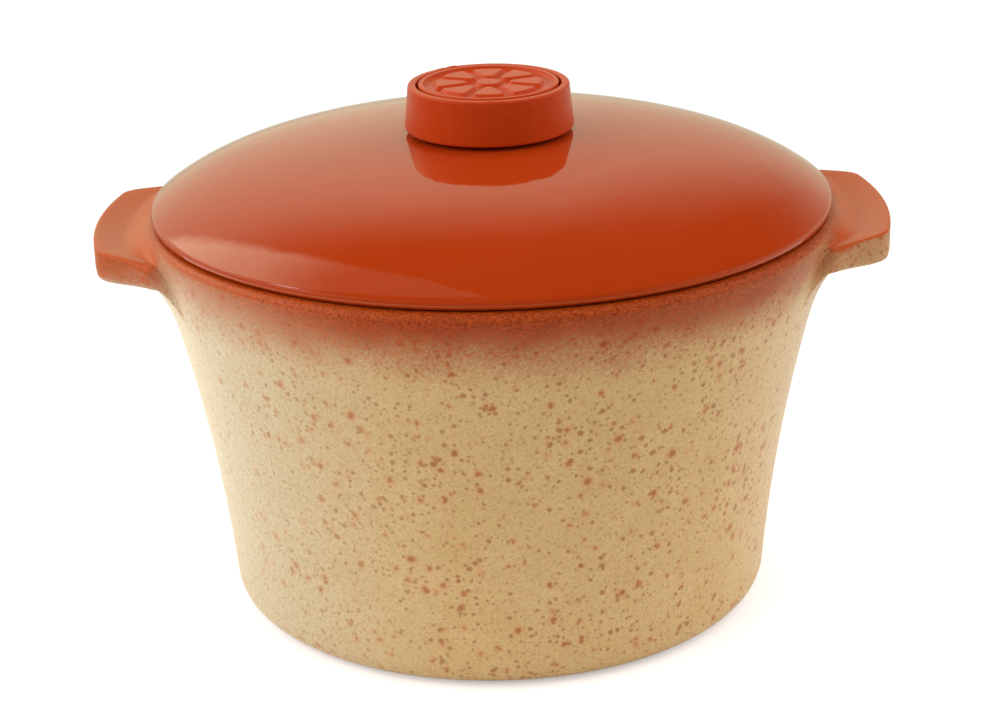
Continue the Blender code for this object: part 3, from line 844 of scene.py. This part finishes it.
# the lug tops on the left, where the ground is painted pale by the sheen, get more spray
top_gain = add_node(
    tree, "ShaderNodeMath", {1: TOP_GAIN_ON_LEFT, 2: TOP_GAIN}, {0: painted_left_sheen}, operation="MULTIPLY_ADD"
)
gain = add_node(
    tree,
    "ShaderNodeMapRange",
    {"From Min": 0.2, "From Max": 0.7},
    {"Value": facing_up, "To Min": flank_gain, "To Max": top_gain},
)
cover = add_node(tree, "ShaderNodeMath", {}, {0: wall_cover, 1: gain}, operation="ADD", use_clamp=True)
spray = add_node(
    tree,
    "ShaderNodeMapRange",
    {"From Min": SPRAY_MIDDLE - SPRAY_FADE, "From Max": SPRAY_MIDDLE + SPRAY_FADE},
    {"Value": shifted, "To Max": cover},
    interpolation_type="SMOOTHSTEP",
)

# %% Colour of the spray: dark where it is thin, bright where it is thick, and brighter on the left as painted light from the left
THICKER_ABOVE = 0.3
SPRAY_LIT_ON_LEFT = 0.12
most_above = add_node(tree, "ShaderNodeMath", {1: THICKER_ABOVE}, {0: on_lug}, operation="MULTIPLY")
above_share = add_node(
    tree, "ShaderNodeMapRange", {"From Min": 0.2, "From Max": 0.9}, {"Value": facing_up, "To Max": most_above}
)
thickness_and_left_light = add_node(tree, "ShaderNodeMath", {}, {0: droplets, 1: above_share}, operation="ADD")
# brighter spray on the left is painted light from the left, added on top of the real thickness
thickness_and_left_light = add_node(
    tree, "ShaderNodeMath", {1: SPRAY_LIT_ON_LEFT}, {0: painted_left_sheen, 2: thickness_and_left_light}, operation="MULTIPLY_ADD"
)
bright_share = add_node(tree, "ShaderNodeMapRange", {"From Min": 0.36, "From Max": 0.66}, {"Value": thickness_and_left_light})
spray_tint = add_node(
    tree,
    "ShaderNodeMix",
    {FIRST: paint("#842A02"), SECOND: paint("#BE4F16")},
    {FACTOR: bright_share},
    data_type="RGBA",
)
sprayed = add_node(tree, "ShaderNodeMix", {}, {FACTOR: spray, FIRST: surface, SECOND: spray_tint}, data_type="RGBA")
print("spray fades out from", SPRAY_MIDDLE + SPRAY_FADE, "to", SPRAY_MIDDLE - SPRAY_FADE, "mm above the table")

# %% Foot: a warm brown line of painted shade along the bottom edge, where the pot curves under
FOOT_SHADE_FULL_BELOW, FOOT_SHADE_GONE_ABOVE = 0.6, 2.8
painted_foot_shade = add_node(
    tree,
    "ShaderNodeMapRange",
    {"From Min": FOOT_SHADE_FULL_BELOW, "From Max": FOOT_SHADE_GONE_ABOVE, "To Min": 0.8, "To Max": 0.0},
    {"Value": place_parts.outputs["Z"]},
    interpolation_type="SMOOTHSTEP",
)
# the brown tint is painted shade under the rounded foot
with_foot_shade = add_node(
    tree, "ShaderNodeMix", {SECOND: paint("#A87552")}, {FACTOR: painted_foot_shade, FIRST: sprayed}, data_type="RGBA"
)

# %% Satin gloss with a faint orange peel, and a dry surface where the spray lies on the wall
PEEL_SIZE = 2.6
DRY_ROUGHNESS = 0.60
sheen = add_node(tree, "ShaderNodeMapRange", {"To Min": 0.26, "To Max": 0.40}, {"Value": mottle})
on_side = add_node(tree, "ShaderNodeMapRange", {"From Max": 0.6, "To Min": 1.0, "To Max": 0.0}, {"Value": facing_up})
dry = add_node(tree, "ShaderNodeMath", {}, {0: spray, 1: on_side}, operation="MULTIPLY")
roughness = add_node(
    tree, "ShaderNodeMix", {PLAIN_SECOND: DRY_ROUGHNESS}, {PLAIN_FACTOR: dry, PLAIN_FIRST: sheen}, data_type="FLOAT"
)
peel = add_node(tree, "ShaderNodeTexNoise", {"Scale": 1 / PEEL_SIZE, "Detail": 2.0}, {"Vector": point})
grain_bump = add_node(tree, "ShaderNodeBump", {"Strength": 0.5, "Distance": 0.06 * MM}, {"Height": mottle})
peel_bump = add_node(
    tree, "ShaderNodeBump", {"Strength": 0.6, "Distance": 0.10 * MM}, {"Height": peel, "Normal": grain_bump}
)
wire(shader, {"Base Color": with_foot_shade, "Roughness": roughness, "Normal": peel_bump})
dress(pot, glaze)

# %% [markdown]
# ## Vitreous enamel
#
# The lid's colour is glass fused onto steel. It is the glossiest thing here, and smooth, but the molten glass keeps
# long, very low waves. They can't be seen as bumps. They show where a mirrored edge wavers. So the waves are 4 and
# 14 mm long, and about a tenth of a millimetre high or less.

# %% Enamel for the lid and the ring under it
DRIFT_SIZE = 30
LONG_WAVE, LONG_WAVE_HEIGHT = 14, 0.11
SHORT_WAVE, SHORT_WAVE_HEIGHT = 4, 0.022
enamel, tree, shader = start_material("vitreous_enamel", {"Roughness": 0.05, "IOR": 1.5})
point = place_in_mm(tree)
drift = add_node(tree, "ShaderNodeTexNoise", {"Scale": 1 / DRIFT_SIZE, "Detail": 2.0}, {"Vector": point})
body_tint = add_node(
    tree, "ShaderNodeMix", {FIRST: paint("#B33A0D"), SECOND: paint("#AB350A")}, {FACTOR: drift}, data_type="RGBA"
)
long_waves = add_node(tree, "ShaderNodeTexNoise", {"Scale": 1 / LONG_WAVE, "Detail": 3.0}, {"Vector": point})
long_bump = add_node(
    tree, "ShaderNodeBump", {"Strength": 1.0, "Distance": LONG_WAVE_HEIGHT * MM}, {"Height": long_waves}
)
short_waves = add_node(tree, "ShaderNodeTexNoise", {"Scale": 1 / SHORT_WAVE, "Detail": 1.0}, {"Vector": point})
short_bump = add_node(
    tree,
    "ShaderNodeBump",
    {"Strength": 1.0, "Distance": SHORT_WAVE_HEIGHT * MM},
    {"Height": short_waves, "Normal": long_bump},
)
wire(shader, {"Base Color": body_tint, "Normal": short_bump})
dress(lid, enamel)
dress(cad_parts["lid_locating_ring"], enamel)

# %% [markdown]
# ## Moulded phenolic
#
# Knobs like this are pressed from phenolic resin, which stands the heat of an oven. Out of the mould it is satin,
# not glossy, its colour is a little uneven from the filler, and handling leaves it slightly scuffed. Its pores are
# finer than the picture can show, so they are drawn 0.8 mm wide.

# %% Phenolic resin for the knob and its disc
FILLER_SIZE = 3
PORE_SIZE = 0.8
phenolic, tree, shader = start_material("moulded_phenolic", {"IOR": 1.5, "Specular IOR Level": 0.2})
point = place_in_mm(tree)
filler = add_node(tree, "ShaderNodeTexNoise", {"Scale": 1 / FILLER_SIZE, "Detail": 4.0}, {"Vector": point})
resin_tint = add_node(
    tree, "ShaderNodeMix", {FIRST: paint("#BB3808"), SECOND: paint("#C9420D")}, {FACTOR: filler}, data_type="RGBA"
)
scuff = add_node(tree, "ShaderNodeMapRange", {"To Min": 0.26, "To Max": 0.38}, {"Value": filler})
pores = add_node(tree, "ShaderNodeTexNoise", {"Scale": 1 / PORE_SIZE, "Detail": 2.0}, {"Vector": point})
pore_bump = add_node(tree, "ShaderNodeBump", {"Strength": 0.6, "Distance": 0.05 * MM}, {"Height": pores})
wire(shader, {"Base Color": resin_tint, "Roughness": scuff, "Normal": pore_bump})
for piece in (knob, cap):
    dress(piece, phenolic)

# %% [markdown]
# ## Fixings under the lid
#
# Screw, washers and nut are zinc-plated steel: a bright metal with a fine uneven crystal that breaks the
# reflection up. The gaskets are vulcanised fibre, a dense brown board with a woolly grain. Both patterns are really
# finer than a tenth of a millimetre, and are drawn coarser, so that they show close up.

# %% Zinc-plated steel
CRYSTAL_SIZE = 0.35
zinc, tree, shader = start_material("zinc_plated_steel", {"Metallic": 1.0})
point = place_in_mm(tree)
crystals = add_node(tree, "ShaderNodeTexVoronoi", {"Scale": 1 / CRYSTAL_SIZE}, {"Vector": point})
zinc_tint = add_node(
    tree, "ShaderNodeMix", {FIRST: paint("#C4C6C6"), SECOND: paint("#AEB3B8")}, {FACTOR: crystals}, data_type="RGBA"
)
zinc_roughness = add_node(tree, "ShaderNodeMapRange", {"To Min": 0.24, "To Max": 0.4}, {"Value": crystals})
wire(shader, {"Base Color": zinc_tint, "Roughness": zinc_roughness})
for node in ("knob_screw", "screw_washer", "nut_washer", "knob_nut"):
    dress(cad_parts[node], zinc)

# %% Vulcanised fibre
WOOL_SIZE = 0.5
fibre, tree, shader = start_material("vulcanised_fibre", {"Roughness": 0.7, "IOR": 1.5})
point = place_in_mm(tree)
wool = add_node(tree, "ShaderNodeTexNoise", {"Scale": 1 / WOOL_SIZE, "Detail": 5.0}, {"Vector": point})
fibre_tint = add_node(
    tree, "ShaderNodeMix", {FIRST: paint("#402218"), SECOND: paint("#5C3424")}, {FACTOR: wool}, data_type="RGBA"
)
wool_bump = add_node(tree, "ShaderNodeBump", {"Strength": 0.7, "Distance": 0.08 * MM}, {"Height": wool})
wire(shader, {"Base Color": fibre_tint, "Normal": wool_bump})
for node in ("knob_gasket", "lid_gasket"):
    dress(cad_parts[node], fibre)

# %% [markdown]
# ## Floor
#
# A plain white table. It is bright enough to read as the white of the picture, and it keeps the soft shadow that
# sets the pot down. The extra glow is only seen by the camera and in reflections, and puts no light on the pot.
# In reflections the table is brighter on the left, a painted pool of the light from the left, and warm just in front
# of the pot, which is painted warm light. Far away it is pale behind the pot and dark on the camera's side, because
# the room behind a camera is dark.

# %% The white table
FLOOR_RADIUS = 4000
floor_mesh = bmesh.new()
bmesh.ops.create_circle(floor_mesh, cap_ends=True, segments=96, radius=FLOOR_RADIUS * MM)
floor_data = bpy.data.meshes.new("table")
floor_mesh.to_mesh(floor_data)
floor_mesh.free()
floor = bpy.data.objects.new("table", floor_data)
bpy.context.scene.collection.objects.link(floor)
floor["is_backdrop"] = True

# %% Where a point of the table is (in metres), and whether a mirrored ray sees it
NEAR_REACH = 0.40
FAR_REACH = 0.60
white, tree, shader = start_material("white_table", {"Roughness": 0.9, "Specular IOR Level": 0.0})
on_table = add_node(tree, "ShaderNodeTexCoord").outputs["Object"]
reach = add_node(tree, "ShaderNodeVectorMath", {}, {0: on_table}, operation="LENGTH")
far = add_node(
    tree,
    "ShaderNodeMapRange",
    {"From Min": NEAR_REACH, "From Max": FAR_REACH},
    {"Value": reach},
    interpolation_type="SMOOTHSTEP",
)
across = add_node(tree, "ShaderNodeSeparateXYZ", {}, {0: on_table})
path = add_node(tree, "ShaderNodeLightPath")
mirrored_ray = add_node(
    tree,
    "ShaderNodeMath",
    {},
    {0: path.outputs["Is Glossy Ray"], 1: path.outputs["Is Transmission Ray"]},
    operation="MAXIMUM",
)

# %% How much the table glows for the camera and in mirrors
CAMERA_GLOW = 0.36
MIRROR_GLOW_LEFT, MIRROR_GLOW_RIGHT = 0.9, 0.2
MIRROR_GLOW_FRONT, MIRROR_GLOW_BACK = 0.05, 0.6
# in mirrors the glow is painted light: a pool of the left light, brighter on the left of the table
near_glow = add_node(
    tree,
    "ShaderNodeMapRange",
    {"From Min": -0.25, "From Max": 0.0, "To Min": MIRROR_GLOW_LEFT, "To Max": MIRROR_GLOW_RIGHT},
    {"Value": across.outputs["X"]},
)
far_glow = add_node(
    tree,
    "ShaderNodeMapRange",
    {"From Min": -0.3, "From Max": 0.3, "To Min": MIRROR_GLOW_FRONT, "To Max": MIRROR_GLOW_BACK},
    {"Value": across.outputs["Y"]},
)
mirror_glow = add_node(
    tree, "ShaderNodeMix", {}, {PLAIN_FACTOR: far, PLAIN_FIRST: near_glow, PLAIN_SECOND: far_glow}, data_type="FLOAT"
)
camera_glow = add_node(
    tree, "ShaderNodeMix", {PLAIN_FIRST: CAMERA_GLOW, PLAIN_SECOND: 1.0}, {PLAIN_FACTOR: far}, data_type="FLOAT"
)
glow = add_node(tree, "ShaderNodeMath", {}, {0: mirrored_ray, 1: mirror_glow}, operation="MULTIPLY")
glow = add_node(
    tree,
    "ShaderNodeMix",
    {},
    {PLAIN_FACTOR: path.outputs["Is Camera Ray"], PLAIN_FIRST: glow, PLAIN_SECOND: camera_glow},
    data_type="FLOAT",
)

# %% Colours of the table: white, painted warm light in front of the pot in mirrors, grey far away
WARM_FROM, WARM_TO = -0.02, -0.14
NEAR_MIRROR_TINT = (1.0, 0.84, 0.50, 1.0)
FAR_MIRROR_TINT = (1.03, 1.09, 0.80, 1.0)
in_front = add_node(
    tree,
    "ShaderNodeMapRange",
    {"From Min": WARM_FROM, "From Max": WARM_TO},
    {"Value": across.outputs["Y"], "To Max": mirrored_ray},
)
# the warm tint in front of the pot is painted warm light, seen only in mirrors
near_tint = add_node(
    tree, "ShaderNodeMix", {FIRST: paint("#F4F4F4"), SECOND: paint("#D8A878")}, {FACTOR: in_front}, data_type="RGBA"
)
table_tint = add_node(
    tree, "ShaderNodeMix", {SECOND: paint("#505050")}, {FACTOR: far, FIRST: near_tint}, data_type="RGBA"
)
mirror_tint = add_node(
    tree, "ShaderNodeMix", {FIRST: NEAR_MIRROR_TINT, SECOND: FAR_MIRROR_TINT}, {FACTOR: far}, data_type="RGBA"
)
glow_tint = add_node(
    tree, "ShaderNodeMix", {FIRST: WHITE}, {FACTOR: mirrored_ray, SECOND: mirror_tint}, data_type="RGBA"
)
wire(shader, {"Base Color": table_tint, "Emission Color": glow_tint, "Emission Strength": glow})
dress(floor, white)

# %% [markdown]
# ## Studio light
#
# Soft light comes from all round, most of it from behind and above, and least from the camera's side. Two broad
# panels light the pot from the sides, and are hidden from mirrors. What the lid mirrors is drawn in the world's
# background: a pale surround that ends overhead, lower on the right than on the left, and a window high on the
# left. One small lamp on the left gives the lid its glint.

# %% The world, and its soft light
SOFT_LEVEL = 0.76
SOFT_LEAN = (0.12, 0.34, 0.16)
world = bpy.data.worlds.new("studio")
bpy.context.scene.world = world
world.use_nodes = True
tree = world.node_tree
background = tree.nodes["Background"]
direction = add_node(tree, "ShaderNodeTexCoord").outputs["Generated"]
parts = add_node(tree, "ShaderNodeSeparateXYZ", {}, {0: direction})
lean = add_node(tree, "ShaderNodeVectorMath", {1: SOFT_LEAN}, {0: direction}, operation="DOT_PRODUCT")
soft = add_node(tree, "ShaderNodeMath", {1: SOFT_LEVEL}, {0: lean}, operation="ADD")

# %% What is mirrored: a pale surround that ends overhead
OVERHEAD = 0.03
# toward the right, from one X of the direction to another: the surround's level, and where its fade starts and ends
SURROUND = ((-0.10, 0.20, 0.83, 0.66), (0.08, 0.32, 0.50, 0.03), (0.30, 0.42, 0.86, 0.62))
level, fade_start, fade_end = (
    add_node(
        tree,
        "ShaderNodeMapRange",
        {"From Min": x_from, "From Max": x_to, "To Min": on_left, "To Max": on_right},
        {"Value": parts.outputs["X"]},
    )
    for x_from, x_to, on_left, on_right in SURROUND
)
surround = add_node(
    tree,
    "ShaderNodeMapRange",
    {"To Max": OVERHEAD},
    {"Value": parts.outputs["Z"], "From Min": fade_start, "From Max": fade_end, "To Min": level},
    interpolation_type="SMOOTHSTEP",
)

# %% A window high on the left, as the product of its soft edges, and a dark room on the camera's side
azimuth = add_node(tree, "ShaderNodeMath", {}, {0: parts.outputs["X"], 1: parts.outputs["Y"]}, operation="ARCTAN2")
SOFT_EDGES = (
    # measured along (an angle in radians, or a part of the direction), from, to, and the levels there
    (azimuth, -1.50, -1.30, 0.0, 1.0),
    (azimuth, -0.70, -0.60, 1.0, 0.0),
    (parts.outputs["Z"], 0.26, 0.42, 0.0, 1.0),
    (parts.outputs["Z"], 0.45, 0.72, 1.6, 1.75),
    (parts.outputs["Z"], 0.72, 0.90, 1.0, 0.2),
    (parts.outputs["Y"], -0.85, -0.25, 0.10, 1.0),
)
window, *window_edges, room = [
    add_node(
        tree,
        "ShaderNodeMapRange",
        {"From Min": start, "From Max": end, "To Min": level_start, "To Max": level_end},
        {"Value": source},
        interpolation_type="SMOOTHSTEP",
    )
    for source, start, end, level_start, level_end in SOFT_EDGES
]
for edge in window_edges:
    window = add_node(tree, "ShaderNodeMath", {}, {0: window, 1: edge}, operation="MULTIPLY")
mirrored = add_node(tree, "ShaderNodeMath", {}, {0: surround, 1: window}, operation="ADD")
mirrored = add_node(tree, "ShaderNodeMath", {}, {0: mirrored, 1: room}, operation="MULTIPLY")

# %% Which rays see what
WALL_TINT = (1.03, 1.10, 0.78, 1.0)
path = add_node(tree, "ShaderNodeLightPath")
in_mirror = add_node(
    tree,
    "ShaderNodeMath",
    {},
    {0: path.outputs["Is Glossy Ray"], 1: path.outputs["Is Transmission Ray"]},
    operation="MAXIMUM",
)
lit = add_node(
    tree, "ShaderNodeMix", {}, {PLAIN_FACTOR: in_mirror, PLAIN_FIRST: soft, PLAIN_SECOND: mirrored}, data_type="FLOAT"
)
strength = add_node(
    tree,
    "ShaderNodeMix",
    {PLAIN_SECOND: 1.0},
    {PLAIN_FACTOR: path.outputs["Is Camera Ray"], PLAIN_FIRST: lit},
    data_type="FLOAT",
)
wall_tint = add_node(tree, "ShaderNodeMix", {FIRST: WHITE, SECOND: WALL_TINT}, {FACTOR: in_mirror}, data_type="RGBA")
wire(background, {"Color": wall_tint, "Strength": strength})

# %% Two panels and a small lamp
PANEL_DISTANCE = 1.3
PANELS = (
    # name, degrees from the back to the right, elevation, width and height (degrees), radiance, seen in mirrors
    ("left_window", -112, 27, 60, 38, 2.1, False),
    ("left_lamp", -100, 40, 9, 9, 7.0, True),
    ("right_panel", 88, 26, 44, 40, 1.7, False),
)
middle = Vector((0, 0, RIM * MM))
for name, bearing, elevation, wide, high, radiance, is_mirrored in PANELS:
    around, climb = math.radians(bearing), math.radians(elevation)
    toward = Vector((math.sin(around) * math.cos(climb), math.cos(around) * math.cos(climb), math.sin(climb)))
    data = bpy.data.lights.new(name, "AREA")
    data.shape = "RECTANGLE"
    data.size = 2 * PANEL_DISTANCE * math.tan(math.radians(wide / 2))
    data.size_y = 2 * PANEL_DISTANCE * math.tan(math.radians(high / 2))
    data.energy = radiance * math.pi * data.size * data.size_y
    lamp = bpy.data.objects.new(name, data)
    lamp.visible_glossy = is_mirrored
    lamp.location = middle + toward * PANEL_DISTANCE
    lamp.rotation_euler = (-toward).to_track_quat("-Z", "Y").to_euler()
    bpy.context.scene.collection.objects.link(lamp)
    print(name, "gives", round(data.energy, 2), "W")

# %% [markdown]
# ## Close
#
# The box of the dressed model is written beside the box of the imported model. The two should agree, because looks
# may not change the size of the thing.

# %% Compare the sizes and finish
visual_box = [list(corner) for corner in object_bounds()]
for label, (low, high) in (("cad", cad_box), ("visual", visual_box)):
    print(label, [round((top - bottom) / MM, 1) for bottom, top in zip(low, high)])
